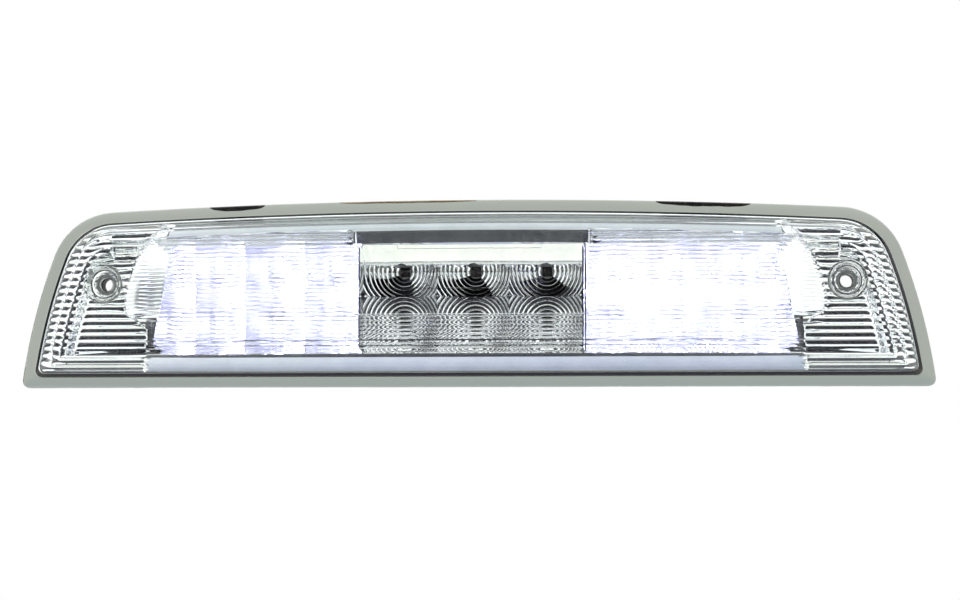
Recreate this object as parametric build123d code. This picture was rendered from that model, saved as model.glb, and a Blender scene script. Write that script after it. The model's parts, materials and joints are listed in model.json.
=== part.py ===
from build123d import *
import os
from math import hypot, sqrt

# Third brake light of a pickup cab: a brake lamp between two cargo lamps, behind one clear lens.
# X runs along the lamp, +Y points into the vehicle and +Z is up. The origin lies midway between the
# two mounting screws, on the face that seats against the cab. All sizes are in millimetres.

# ---- Outline of the lens, seen from behind the vehicle ------------------------------------------
HALF_LENGTH = 220.0
TOP, BOTTOM = 40.0, -50.0
TOP_RADIUS = 3300.0
SIDE_RADIUS = 285.0
SHOULDER_X, SHOULDER_Z = 205.3, 11.5
CORNER_RADIUS, FOOT_RADIUS = 32.0, 3.5
LEAST_CORNER = 2.5

# ---- Depths, from the seat at 0 towards the viewer ----------------------------------------------
SEAT = 0.0
PLATE_BACK, PLATE_FRONT = -4.0, -7.0
LIP_BACK, LIP_FRONT = -7.0, -10.0
WALL_END = -24.0
CROWN, CROWN_RADIUS = -23.0, 9000.0

# ---- Lens ---------------------------------------------------------------------------------------
LIP_WIDTH = 5.5
WALL_RUNS = (12.2, 9.1, 12.2)       # how far the wall leans in by WALL_END: sides, top, bottom
LENS_THICKNESS = 2.5
LENS_WALL = 2.0                     # the same wall measured across the lamp
SCREW_X = 178.0
SCREW_HOLE = 3.1
RECESS_MOUTH, RECESS_FLOOR = 8.2, 5.4
RECESS_FLOOR_Y, TUBE_END = -12.2, -9.7
TUBE_WALL = 2.0

# ---- Housing ------------------------------------------------------------------------------------
HOUSING_INSET = 5.8
SEAL_INSET, SEAL_WIDTH, SEAL_DEPTH = 6.3, 1.2, 1.8
GASKET_INSET, GASKET_WIDTH = 7.0, 6.0
TUB_HALF, TUB_TOP, TUB_BOTTOM, TUB_RADIUS = 163.0, 21.8, -33.8, 8.0
TUB_WALL, TUB_BACK, TUB_EDGE = 2.5, 26.0, 2.0
SCREW_BOSS = 7.0
SEAL_RING_INNER, SEAL_RING_OUTER = 3.6, 5.0

# ---- Chrome bezel -------------------------------------------------------------------------------
BEZEL_GAP = LENS_WALL + 0.4
BEZEL_BACK, BEZEL_FLOOR, RIDGE = -7.5, -9.5, -15.5
RIDGE_WIDTH = 2.0
POCKET_INSETS = (26.0, 23.0, 18.5)  # sides, top, bottom, where the pocket meets its floor
WINDOW_TOP, WINDOW_BOTTOM = 17.0, -31.5
WINDOW_HALF_TOP, WINDOW_HALF_BOTTOM = 147.0, 155.0
SCALLOP_PITCH, SCALLOP_RADIUS = 3.6, 2.6
SCALLOP_ROWS = 13
SCALLOP_CENTRE_Z = -6.5
SCALLOP_START, SCALLOP_END = 156.5, 199.0
BEZEL_HOLE = 5.2
PIN_RADIUS, PIN_LENGTH, PIN_PLAY = 1.4, 2.0, 0.1
PIN_PLACES = [(x, z) for x in (-100, 100) for z in (25.0, -37.0)]

# ---- Reflectors, boards and lamps ---------------------------------------------------------------
ROWS = (6.5, -18.5)
ROW_HEIGHT = 25.0
MIDDLE_Z = sum(ROWS) / 2
BRAKE_HALF = 53.8
BRAKE_COLUMNS = (-34.8, 0.0, 34.8)
CARGO_COLUMNS = (67.5, 97.6, 126.6, 147.9)
CARGO_START, CARGO_END = 54.1, 156.0
REFLECTOR_FRONT, REFLECTOR_BACK = -7.4, 12.9
REFLECTOR_SKIN, REFLECTOR_WALL = 1.6, 1.4
BOWL = ((5.0, 12.8), (12.0, 7.2), (21.6, -7.8))        # radius and depth of three points of a bowl
PARTITION_FRONT, PARTITION_BACK, PARTITION_TOP = -18.5, 0.0, 16.7
BOARD_FRONT, BOARD_THICKNESS = 13.0, 1.6
BOARD_BACK = BOARD_FRONT + BOARD_THICKNESS
BOARD_LOW, BOARD_HIGH = -30.0, 18.0
LED_BASE, LED_BASE_HEIGHT, LED_DOME = 4.6, 1.0, 2.1
SCREW_PLACES = {
    "left": ((-137.2, MIDDLE_Z), (-82.5, MIDDLE_Z)),
    "brake": ((-17.4, ROWS[0]), (17.4, ROWS[1])),
    "right": ((82.5, MIDDLE_Z), (137.2, MIDDLE_Z)),
}
STANDOFF, PILOT = 3.0, 1.3

# ---- Connector ----------------------------------------------------------------------------------
CONNECTOR_Z = MIDDLE_Z
CONNECTOR_SEAL = 1.2
FLANGE = (46.0, 21.0, 2.0)
COLLAR = (24.0, 15.0)
COLLAR_WALL, COLLAR_END = 1.8, 40.0
PLUG_BODY, PLUG_START, PLUG_PLAY = (22.0, 12.0), 20.0, 0.2
TERMINAL_PLACES = {"brake_terminal": -6.3, "ground_terminal": 0.0, "cargo_terminal": 6.3}
BLADE_WIDTH, BLADE_THICKNESS, BLADE_START, BLADE_END = 2.8, 0.8, 12.4, 38.0
EAR_X = 19.5
VENT_X = -110.0


def outline(y, side, top=None, bottom=None):
    """The lamp's outline at depth y, moved in by side, top and bottom, as a face that looks forward."""
    top = side if top is None else top
    bottom = side if bottom is None else bottom
    half = Vector((HALF_LENGTH - SHOULDER_X) / 2, (BOTTOM - SHOULDER_Z) / 2)
    reach = sqrt(SIDE_RADIUS**2 - half.length**2)
    middle_x = (HALF_LENGTH + SHOULDER_X) / 2
    middle_z = (BOTTOM + SHOULDER_Z) / 2
    centre_x = middle_x + half.Y / half.length * reach
    centre_z = middle_z - half.X / half.length * reach
    tall = TOP - BOTTOM
    shape = Pos(0, TOP - TOP_RADIUS) * Circle(TOP_RADIUS - top)
    shape &= Pos(0, BOTTOM + bottom + tall) * Rectangle(3 * HALF_LENGTH, 2 * tall)
    for way in (-1, 1):
        shape &= Pos(way * centre_x, centre_z) * Circle(SIDE_RADIUS - side)
    corners = shape.vertices().sort_by(Axis.Y)
    shape = fillet(corners[2:], max(CORNER_RADIUS - side, LEAST_CORNER))
    shape = fillet(shape.vertices().sort_by(Axis.Y)[:2], max(FOOT_RADIUS - side, LEAST_CORNER))
    return Plane.XZ.offset(-y) * shape


def wall_outline(y, gap=0.0):
    """The outer face of the lens wall at depth y, moved inwards by gap."""
    share = (LIP_FRONT - y) / (LIP_FRONT - WALL_END)
    return outline(y, *(LIP_WIDTH + gap + share * run for run in WALL_RUNS))


def slab(back, front, side, top=None, bottom=None):
    """The outline, inset, as a plate from depth back to depth front."""
    return extrude(outline(back, side, top, bottom), amount=back - front, dir=(0, -1, 0))


def crown(thickness):
    """Everything behind the lens's gently curved front face, less a thickness."""
    radius = CROWN_RADIUS - thickness
    return Pos(0, CROWN + CROWN_RADIUS, 0) * Cylinder(radius, 3 * (TOP - BOTTOM))


def block(low, high):
    """A box between two opposite corners."""
    size = [high[i] - low[i] for i in range(3)]
    centre = [(high[i] + low[i]) / 2 for i in range(3)]
    return Pos(*centre) * Box(*size)


def rod(x, z, radius, start, end):
    """A cylinder along Y."""
    return Pos(x, (start + end) / 2, z) * Rot(90, 0, 0) * Cylinder(radius, abs(end - start))


def cone(x, z, front_radius, front, back_radius, back):
    """A cone along Y, given at its front and back ends."""
    middle = (front + back) / 2
    return Pos(x, middle, z) * Rot(90, 0, 0) * Cone(back_radius, front_radius, back - front)


# ---- Shells and seals ---------------------------------------------------------------------------
def lens():
    """The clear lens: lip, leaning wall, crowned face and two recessed screw tubes."""
    solid = loft([wall_outline(LIP_FRONT), wall_outline(WALL_END)], ruled=True) & crown(0)
    solid += slab(LIP_BACK, LIP_FRONT, 0)
    cavity = loft([wall_outline(LIP_FRONT, LENS_WALL), wall_outline(WALL_END, LENS_WALL)], ruled=True)
    cavity = (cavity & crown(LENS_THICKNESS)) + slab(LIP_BACK, LIP_FRONT, LIP_WIDTH + LENS_WALL)
    shell = solid - cavity
    for x in (-SCREW_X, SCREW_X):
        tube = cone(x, 0, RECESS_MOUTH + TUBE_WALL, CROWN, RECESS_FLOOR + TUBE_WALL, TUBE_END)
        shell += tube & solid
        shell -= cone(x, 0, RECESS_MOUTH, CROWN - 1, RECESS_FLOOR, RECESS_FLOOR_Y)
        shell -= rod(x, 0, SCREW_HOLE, CROWN, SEAT)
    return shell


def lens_seal():
    """The bead that joins the lens to the housing, in the housing's groove."""
    inner = SEAL_INSET + SEAL_WIDTH
    back = PLATE_FRONT + SEAL_DEPTH
    return slab(back, PLATE_FRONT, SEAL_INSET) - slab(back, PLATE_FRONT, inner)


def mounting_gasket():
    """The foam ring that seats on the cab."""
    inner = GASKET_INSET + GASKET_WIDTH
    return slab(SEAT, PLATE_BACK, GASKET_INSET) - slab(SEAT, PLATE_BACK, inner)


def tube_seal(x):
    """The sealing ring between a lens tube and the housing."""
    ring = rod(x, 0, SEAL_RING_OUTER, TUBE_END, PLATE_FRONT)
    return ring - rod(x, 0, SEAL_RING_INNER, TUBE_END, PLATE_FRONT)


def tub_shape(wall, front, back):
    """The tub behind the plate, moved in by wall."""
    width = 2 * (TUB_HALF - wall)
    height = TUB_TOP - TUB_BOTTOM - 2 * wall
    face = Pos(0, (TUB_TOP + TUB_BOTTOM) / 2) * RectangleRounded(width, height, TUB_RADIUS - wall)
    return extrude(Plane.XZ.offset(-back) * face, amount=back - front, dir=(0, -1, 0))


def housing_ribs():
    """Stiffening ribs across the back of the tub and between the tub and the screw bosses."""
    rib, proud, margin = 1.6, 2.0, 4.0
    ribs = []
    for x in (-145, -85, -55, 55, 85, 115, 145):
        low = (x - rib / 2, TUB_BACK, TUB_BOTTOM + margin)
        ribs.append(block(low, (x + rib / 2, TUB_BACK + proud, TUB_TOP - margin)))
    for z in (TUB_BOTTOM + margin + rib, TUB_TOP - margin - rib):
        for way in (-1, 1):
            ends = sorted((way * 55, way * 145))
            low = (ends[0], TUB_BACK, z - rib / 2)
            ribs.append(block(low, (ends[1], TUB_BACK + proud, z + rib / 2)))
    for way in (-1, 1):
        ends = sorted((way * (TUB_HALF - 1), way * (SCREW_X - SCREW_HOLE - 1)))
        ribs.append(block((ends[0], PLATE_BACK, -rib / 2), (ends[1], SEAT - 0.8, rib / 2)))
    return ribs


def housing():
    """The black rear casing: plate, tub, bosses, standoffs, ribs and openings."""
    floor = TUB_BACK - TUB_WALL
    tub = tub_shape(0, PLATE_BACK, TUB_BACK)
    body = slab(PLATE_BACK, PLATE_FRONT, HOUSING_INSET)
    body += fillet(tub.edges().group_by(Axis.Y)[-1], TUB_EDGE)
    for x in (-SCREW_X, SCREW_X):
        body += rod(x, 0, SCREW_BOSS, PLATE_BACK, SEAT)
    body += housing_ribs()
    body -= tub_shape(TUB_WALL, PLATE_FRONT, floor)
    for places in SCREW_PLACES.values():
        for x, z in places:
            body += rod(x, z, STANDOFF, BOARD_BACK, floor)
            body -= rod(x, z, PILOT, BOARD_BACK, floor - 1)
    for x in (-EAR_X, EAR_X):
        body += rod(x, CONNECTOR_Z, STANDOFF, BOARD_BACK + 1.9, floor)
        body -= rod(x, CONNECTOR_Z, PILOT, BOARD_BACK + 3.4, TUB_BACK)
    for x in (-SCREW_X, SCREW_X):
        body -= rod(x, 0, SCREW_HOLE, PLATE_FRONT, SEAT)
    body -= lens_seal()
    for x, z in PIN_PLACES:
        body -= rod(x, z, PIN_RADIUS + PIN_PLAY, PLATE_FRONT, BEZEL_BACK + PIN_LENGTH + PIN_PLAY)
    half_x, half_z = (size / 2 + PLUG_PLAY for size in PLUG_BODY)
    body -= block((-half_x, floor, CONNECTOR_Z - half_z), (half_x, TUB_BACK, CONNECTOR_Z + half_z))
    body -= rod(VENT_X, MIDDLE_Z, 2.5, floor, TUB_BACK)
    return body


# ---- Bezel and reflectors -----------------------------------------------------------------------
def chrome_bezel():
    """The chrome frame: a ridge behind the lens wall, scalloped ends and one wide window."""
    ridge_share = (LIP_FRONT - RIDGE) / (LIP_FRONT - WALL_END)
    ridge_insets = [LIP_WIDTH + BEZEL_GAP + ridge_share * run + RIDGE_WIDTH for run in WALL_RUNS]
    body = loft([wall_outline(LIP_FRONT, BEZEL_GAP), wall_outline(RIDGE, BEZEL_GAP)], ruled=True)
    body += slab(BEZEL_BACK, LIP_FRONT, LIP_WIDTH + BEZEL_GAP)
    body -= loft([outline(BEZEL_FLOOR, *POCKET_INSETS), outline(RIDGE, *ridge_insets)], ruled=True)
    body -= bezel_scallops()
    window = Polyline(
        (-WINDOW_HALF_BOTTOM, WINDOW_BOTTOM),
        (WINDOW_HALF_BOTTOM, WINDOW_BOTTOM),
        (WINDOW_HALF_TOP, WINDOW_TOP),
        (-WINDOW_HALF_TOP, WINDOW_TOP),
        close=True,
    )
    window = Plane.XZ.offset(-SEAT) * make_face(window)
    body -= extrude(window, amount=-CROWN, dir=(0, -1, 0))
    for x in (-SCREW_X, SCREW_X):
        body -= rod(x, 0, BEZEL_HOLE, CROWN, SEAT)
    for x, z in PIN_PLACES:
        body += rod(x, z, PIN_RADIUS, BEZEL_BACK, BEZEL_BACK + PIN_LENGTH)
    return body


def bezel_scallops():
    """Horizontal grooves across the floor and wall of the bezel's two ends."""
    axis_y = BEZEL_FLOOR - sqrt(SCALLOP_RADIUS**2 - (SCALLOP_PITCH / 2) ** 2)
    length = SCALLOP_END - SCALLOP_START
    grooves = []
    for row in range(SCALLOP_ROWS):
        z = SCALLOP_CENTRE_Z + (row - (SCALLOP_ROWS - 1) / 2) * SCALLOP_PITCH
        for way in (-1, 1):
            place = Pos(way * (SCALLOP_START + length / 2), axis_y, z) * Rot(0, 90, 0)
            grooves.append(place * Cylinder(SCALLOP_RADIUS, length))
    return grooves


def bowl(x, z, grow=0.0):
    """The space in front of one reflector bowl, grown by a wall thickness, open to the front."""
    low, middle, high = [(radius + grow, y) for radius, y in BOWL]
    low = (low[0], REFLECTOR_BACK if grow else low[1])
    edge = ThreePointArc(low, middle, high)
    rim = Polyline(high, (0, high[1]), (0, low[1]), low)
    space = revolve(make_face([edge, rim]), Axis.Y)
    return Pos(x, 0, z) * space


def reflector(low_x, high_x, columns):
    """A tray of chrome bowls, two rows high, each with a hole for its lamp."""
    low_z, high_z = MIDDLE_Z - ROW_HEIGHT, MIDDLE_Z + ROW_HEIGHT
    low, high = (low_x, REFLECTOR_FRONT, low_z), (high_x, REFLECTOR_BACK, high_z)
    outside = block(low, high)
    wall = REFLECTOR_WALL
    inside = block((low_x + wall, REFLECTOR_FRONT + REFLECTOR_SKIN, low_z + wall),
                   (high_x - wall, REFLECTOR_BACK, high_z - wall))
    places = [(x, z) for x in columns for z in ROWS]
    body = outside - inside
    for x, z in places:
        body += bowl(x, z, REFLECTOR_SKIN) & outside
    for x, z in places:
        body -= bowl(x, z)
        body -= rod(x, z, BOWL[0][0], BOWL[0][1] - 1, REFLECTOR_BACK)
    return body


def brake_reflector():
    """The middle tray, with a partition each side that keeps its light from the cargo lamps."""
    body = reflector(-BRAKE_HALF, BRAKE_HALF, BRAKE_COLUMNS)
    for way in (-1, 1):
        ends = sorted((way * BRAKE_HALF, way * (BRAKE_HALF - REFLECTOR_WALL)))
        low = (ends[0], PARTITION_FRONT, MIDDLE_Z - ROW_HEIGHT)
        body += block(low, (ends[1], PARTITION_BACK, PARTITION_TOP))
    return body


# ---- Boards and what they carry -----------------------------------------------------------------
def board(low_x, high_x, screws):
    """A circuit board with its screw holes."""
    plate = block((low_x, BOARD_FRONT, BOARD_LOW), (high_x, BOARD_BACK, BOARD_HIGH))
    for x, z in screws:
        plate -= rod(x, z, PILOT + 0.3, BOARD_FRONT, BOARD_BACK)
    return plate


def brake_board():
    """The middle board, with slots for the connector's blades."""
    plate = board(-BRAKE_HALF + 1, BRAKE_HALF - 1, SCREW_PLACES["brake"])
    for x in TERMINAL_PLACES.values():
        plate -= blade(x, play=0.1)
    return plate


def led(x, z):
    """A surface-mounted lamp: square base and round dome, standing on the board's front."""
    half = LED_BASE / 2
    top = BOARD_FRONT - LED_BASE_HEIGHT
    base = block((x - half, top, z - half), (x + half, BOARD_FRONT, z + half))
    dome = Pos(x, top, z) * Sphere(LED_DOME)
    return base + (dome & block((x - half, top - half, z - half), (x + half, top, z + half)))


def chip(x, z, width, height, thickness):
    """A component on the back of a board."""
    low = (x - width / 2, BOARD_BACK, z - height / 2)
    return block(low, (x + width / 2, BOARD_BACK + thickness, z + height / 2))


def resistors(places):
    """Ballast resistors in one row along the upper half of a board."""
    return Compound(children=[chip(x, ROWS[0] + 2, 6.3, 3.2, 0.7) for x in places])


def jumper(way, z):
    """An insulated wire that loops from the middle board to a cargo board."""
    start, end, out = way * 46.0, way * 62.0, BOARD_BACK + 6.6
    radius, bend = 0.6, 2.9
    path = FilletPolyline((start, BOARD_BACK, z), (start, out, z), (end, out, z), (end, BOARD_BACK, z),
                          radius=bend)
    section = Plane(origin=(start, BOARD_BACK, z), z_dir=(0, 1, 0)) * Circle(radius)
    return sweep(section, path)


def screw(x, z, head_face, way, head, shank, length):
    """A pan-head screw whose head sits on head_face and whose shank runs along Y in direction way."""
    head_radius, head_height = head
    body = rod(x, z, head_radius, head_face, head_face - way * head_height)
    body += rod(x, z, shank, head_face, head_face + way * length)
    slot_y = head_face - way * head_height
    for size in ((3.4, 0.7), (0.7, 3.4)):
        body -= Pos(x, slot_y, z) * Box(size[0], 1.4, size[1])
    return body


def board_screws():
    """Six screws that hold the boards to the housing's standoffs."""
    places = [place for group in SCREW_PLACES.values() for place in group]
    return Compound(children=[screw(x, z, BOARD_FRONT, 1, (2.6, 1.6), 1.2, 7) for x, z in places])


# ---- Connector and vent -------------------------------------------------------------------------
def blade(x, play=0.0):
    """A terminal blade, from the middle board to the mouth of the connector."""
    half_x, half_z = BLADE_WIDTH / 2 + play, BLADE_THICKNESS / 2 + play
    low = (x - half_x, BLADE_START, CONNECTOR_Z - half_z)
    return block(low, (x + half_x, BLADE_END, CONNECTOR_Z + half_z))


def centred_block(size, start, end, z=CONNECTOR_Z):
    """A box of that width and height about the connector's axis."""
    return block((-size[0] / 2, start, z - size[1] / 2), (size[0] / 2, end, z + size[1] / 2))


def connector_shell():
    """The header that the vehicle's plug pushes into."""
    face = TUB_BACK + CONNECTOR_SEAL
    body = centred_block(PLUG_BODY, PLUG_START, face)
    body += centred_block(FLANGE, face, face + FLANGE[2])
    body = fillet(body.edges().filter_by(Axis.Y).filter_by_position(Axis.X, -HALF_LENGTH, -22), 3)
    body = fillet(body.edges().filter_by(Axis.Y).filter_by_position(Axis.X, 22, HALF_LENGTH), 3)
    collar = centred_block(COLLAR, face + FLANGE[2], COLLAR_END)
    body += fillet(collar.edges().filter_by(Axis.Y), 2)
    hollow = [size - 2 * COLLAR_WALL for size in COLLAR]
    body -= centred_block(hollow, face + FLANGE[2] + 1, COLLAR_END)
    for x in (-4.5, 4.5):
        key = block((x - 0.8, face + FLANGE[2], CONNECTOR_Z + COLLAR[1] / 2),
                    (x + 0.8, COLLAR_END - 1, CONNECTOR_Z + COLLAR[1] / 2 + 1.2))
        body += key
    for x in TERMINAL_PLACES.values():
        body -= blade(x)
    for x in (-EAR_X, EAR_X):
        body -= rod(x, CONNECTOR_Z, PILOT + 0.3, face, face + FLANGE[2])
    return body


def connector_seal():
    """The flat seal under the connector's flange."""
    inner = [size + 2 * PLUG_PLAY for size in PLUG_BODY]
    body = centred_block((FLANGE[0] - 1, FLANGE[1] - 1), TUB_BACK, TUB_BACK + CONNECTOR_SEAL)
    body -= centred_block(inner, TUB_BACK, TUB_BACK + CONNECTOR_SEAL)
    for x in (-EAR_X, EAR_X):
        body -= rod(x, CONNECTOR_Z, PILOT + 0.3, TUB_BACK, TUB_BACK + CONNECTOR_SEAL)
    return body


def connector_screws():
    """Two screws through the connector's flange."""
    face = TUB_BACK + CONNECTOR_SEAL + FLANGE[2]
    screws = [screw(x, CONNECTOR_Z, face, -1, (2.8, 1.8), 1.2, 9) for x in (-EAR_X, EAR_X)]
    return Compound(children=screws)


def vent_cap():
    """The splash cap over the breather, with four side slots."""
    outer, inner, height, roof = 6.5, 4.9, 3.5, 1.0
    body = rod(VENT_X, MIDDLE_Z, outer, TUB_BACK, TUB_BACK + height)
    body -= rod(VENT_X, MIDDLE_Z, inner, TUB_BACK, TUB_BACK + height - roof)
    for size in ((2 * outer, 1.6), (1.6, 2 * outer)):
        body -= Pos(VENT_X, TUB_BACK + height - roof - 0.6, MIDDLE_Z) * Box(size[0], 1.2, size[1])
    return body


def vent_membrane():
    """The breathable disc over the vent hole."""
    return rod(VENT_X, MIDDLE_Z, 4.5, TUB_BACK, TUB_BACK + 0.4)


def lamp_nodes():
    """Every lamp as a node of its own, numbered from the left, upper row first."""
    cargo = [-x for x in reversed(CARGO_COLUMNS)] + list(CARGO_COLUMNS)
    nodes = {}
    for kind, columns in (("cargo", cargo), ("brake", BRAKE_COLUMNS)):
        places = [(x, z) for z in ROWS for x in columns]
        nodes.update({f"{kind}_led_{i}": led(x, z) for i, (x, z) in enumerate(places, 1)})
    return nodes


def build():
    """Every node of the lamp, by name."""
    nodes = {
        "lens": lens(),
        "housing": housing(),
        "lens_seal": lens_seal(),
        "mounting_gasket": mounting_gasket(),
        "tube_seal_left": tube_seal(-SCREW_X),
        "tube_seal_right": tube_seal(SCREW_X),
        "chrome_bezel": chrome_bezel(),
        "brake_reflector": brake_reflector(),
        "cargo_reflector_left": reflector(-CARGO_END, -CARGO_START, [-x for x in CARGO_COLUMNS]),
        "cargo_reflector_right": reflector(CARGO_START, CARGO_END, CARGO_COLUMNS),
        "brake_board": brake_board(),
        "cargo_board_left": board(-CARGO_END + 1, -CARGO_START - 1, SCREW_PLACES["left"]),
        "cargo_board_right": board(CARGO_START + 1, CARGO_END - 1, SCREW_PLACES["right"]),
        "board_screws": board_screws(),
        "brake_resistors": resistors((-38, -28, 28, 38)),
        "cargo_resistors_left": resistors((-126, -114, -102, -90)),
        "cargo_resistors_right": resistors((90, 102, 114, 126)),
        "brake_driver": chip(-30, ROWS[1], 6.6, 6.1, 2.3),
        "cargo_driver_left": chip(-108, ROWS[1], 6.6, 6.1, 2.3),
        "cargo_driver_right": chip(108, ROWS[1], 6.6, 6.1, 2.3),
        "surge_diode": chip(0, ROWS[1] - 5, 4.6, 3.6, 2.3),
        "input_capacitor": rod(30, ROWS[1], 4.0, BOARD_BACK, BOARD_BACK + 8.2),
        "connector_shell": connector_shell(),
        "connector_seal": connector_seal(),
        "connector_screws": connector_screws(),
        "vent_cap": vent_cap(),
        "vent_membrane": vent_membrane(),
    }
    for side, way in (("left", -1), ("right", 1)):
        for wire, z in (("feed", MIDDLE_Z + 2), ("ground", MIDDLE_Z - 2)):
            nodes[f"jumper_{wire}_{side}"] = jumper(way, z)
    nodes.update({name: blade(x) for name, x in TERMINAL_PLACES.items()})
    nodes.update(lamp_nodes())
    return nodes


if __name__ == "__main__":
    os.makedirs("parts", exist_ok=True)
    for name, shape in build().items():
        export_step(shape, f"parts/{name}.step")
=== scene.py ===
import json
import math

import bmesh
import bpy
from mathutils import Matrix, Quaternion, Vector
from mathutils.geometry import delaunay_2d_cdt


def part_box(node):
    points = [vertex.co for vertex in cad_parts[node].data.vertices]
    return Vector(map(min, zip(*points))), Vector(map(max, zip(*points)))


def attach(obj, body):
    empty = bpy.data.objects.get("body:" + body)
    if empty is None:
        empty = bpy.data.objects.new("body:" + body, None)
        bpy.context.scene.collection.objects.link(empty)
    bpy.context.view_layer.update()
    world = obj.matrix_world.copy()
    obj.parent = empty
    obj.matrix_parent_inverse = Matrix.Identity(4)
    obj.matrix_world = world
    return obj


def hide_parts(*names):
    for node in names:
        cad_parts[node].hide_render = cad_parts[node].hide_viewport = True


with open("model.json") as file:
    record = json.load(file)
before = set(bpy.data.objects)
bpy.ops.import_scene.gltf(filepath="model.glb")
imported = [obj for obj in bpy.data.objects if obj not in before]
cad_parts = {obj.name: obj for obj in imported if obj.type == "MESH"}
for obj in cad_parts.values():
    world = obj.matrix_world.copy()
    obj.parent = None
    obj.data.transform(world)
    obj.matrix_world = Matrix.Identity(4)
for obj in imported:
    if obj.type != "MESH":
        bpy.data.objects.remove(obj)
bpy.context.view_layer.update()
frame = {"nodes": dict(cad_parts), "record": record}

# Third brake light with two cargo lamps. Sizes below are in millimetres, in the frame's own axes:
# X along the lamp, Y into the vehicle, Z up. Every mesh is scaled to metres as it is made.
MM = 0.001


def node_box(node):
    """A CAD node's lowest and highest corners, in millimetres."""
    low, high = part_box(node)
    return Vector(low) / MM, Vector(high) / MM


# ---- Outline, the same arcs as the CAD lens ----
lens_low, lens_high = node_box("lens")
TOP, BOTTOM = round(lens_high.z), round(lens_low.z)
HALF_LENGTH = 220.0
TOP_RADIUS, SIDE_RADIUS = 3300.0, 285.0
SHOULDER = Vector((205.3, 11.5))
CORNER_RADIUS, FOOT_RADIUS, LEAST_CORNER = 32.0, 3.5, 2.5

# ---- Lens ----
LIP_BACK, LIP_FRONT = lens_high.y, lens_high.y - 3.0
LIP_WIDTH, LIP_ROUND, LIP_EASE, LIP_FILLET = 5.5, 0.5, 0.12, 0.6
WALL_END, WALL_RUNS = -24.0, (12.2, 6.2, 12.2)
CROWN, CROWN_RADIUS = lens_low.y, 9000.0
LENS_THICKNESS, LENS_WALL = 2.5, 2.0
EDGE_ROUND, INNER_ROUND = 3.2, 1.2
SCREW_X = frame["record"]["mounts"][0]["dims"]["spacing_x_mm"] / 2
SCREW_HOLE = frame["record"]["mounts"][0]["dims"]["hole_r_mm"]
RECESS_MOUTH, RECESS_FLOOR, TUBE_WALL = 8.2, 5.4, 2.0
RECESS_FLOOR_Y, TUBE_END = -12.2, -9.75
TUBE_MOUTH = RECESS_MOUTH + TUBE_WALL - 0.8
# Round edges as steps away from the axis and inwards: a recess's mouth on the lens's face, and its
# tube's root on the face's inside.
MOUTH_ROUND = ((0.9, 0.0), (0.35, 0.15), (0.0, 0.8))
ROOT_ROUND = ((0.0, 0.6), (0.2, 0.15), (0.7, 0.0))
# Loose places on the lens's plain stretches (low, high, step), for even triangles.
FACE_X, FACE_Z, FACE_GAP = (-196, 196, 8), (-36, 26, 7), 2.5
END_X, END_Z, INSIDE_GAP = (172, 192, 5), (-36, 26, 6), 2.0
MIDDLE_X, MIDDLE_ROWS = (-50, 50, 10), (-10, 8, 16)

# ---- Optic pad on the inside of the lens ----
PAD_TOP_INSET, PAD_BOTTOM, PAD_DEPTH = 14.5, -31.7, 1.0
PAD_ARC_CENTRE, PAD_ARC_RADIUS = Vector((106.9, -14.5)), 61.0
PAD_CORNER = 5.0
PAD_HEEL, PAD_BAND_HALF = -16.6, 157.0
PAD_CHAMFER, PAD_STEP = 2.4, 0.3
WINDOW_HALF, BAND_TOP = 56.1, -15.2
FLUTE_PITCH, FLUTE_RADIUS, FLUTE_STEPS = 1.9, 2.0, 8
RIB_Z, RIB_HALF, RIB_HEIGHT = -27.9, 0.65, 0.4
PAD_COLUMN, PAD_TOP_COLUMN, ROW_GAP = 6.0, 4.0, 0.05
PLATE_CENTRE, PLATE_HALF = Vector((-3.6, 0.8)), Vector((35.4, 3.9))
PLATE_LINE, PLATE_HEIGHT = 0.5, 0.25
SQUARE = ((-1, -1), (1, -1), (1, 1), (-1, 1))

# ---- Bezel ----
bezel_low, _ = node_box("chrome_bezel")
BEZEL_RIM, BEZEL_FLOOR, RIDGE = -9.6, -9.5, bezel_low.y
BEZEL_SKIRT = LIP_WIDTH + LENS_WALL + 0.4
SKIRT_SHARES, RIDGE_WIDTH = (1.0, 0.72, 0.72), 2.0
# Insets from the lamp's outline between which each cove, and the brow's lower edge, fall to the floor.
SIDE_COVE, BOTTOM_COVE = (20.0, 26.0), (16.6, 18.5)
BROW_END, BROW_FLOOR = 20.8, 21.4
BROW_HALF, BROW_DROP = 58.0, 1.3
SCALLOP_PITCH, SCALLOP_RADIUS, SCALLOP_STEPS, SCALLOP_COLUMN = 3.5, 2.9, 10, 0.8
SCALLOP_START, SCALLOP_FADE, WING_RIDGE = 1.8, 1.2, -16.3
SCALLOP_LOW, SCALLOP_HIGH = -41.5, 32.0
SCALLOP_REACH = (148, 216)
BEZEL_ROW, BEZEL_COLUMNS = 0.75, (-144, 144, 5)
BORDER_GAP, BORDER_STEPS, CREASE_STEPS = 0.02, (60, 5, 200, 40, 90), (60, 5, 160, 40, 90)
SCREW_CLEARANCE, BEZEL_SKIN, COVE_POWER = 5.2, 1.6, 3.0
# The scalloped ends' terraces: how far in each riser starts, and the depth that it steps up to.
TERRACES, RISER = ((4.6, -12.5), (9.0, RIDGE)), 0.7
RIDGE_START = TERRACES[-1][0] + RISER
BROW_START = BEZEL_SKIRT + RIDGE_START * SKIRT_SHARES[1]
WINDOW_TOP, WINDOW_BOTTOM, WINDOW_HALVES, WINDOW_CORNER = 18.6, -31.5, (146.7, 155.0), 4.0

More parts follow.
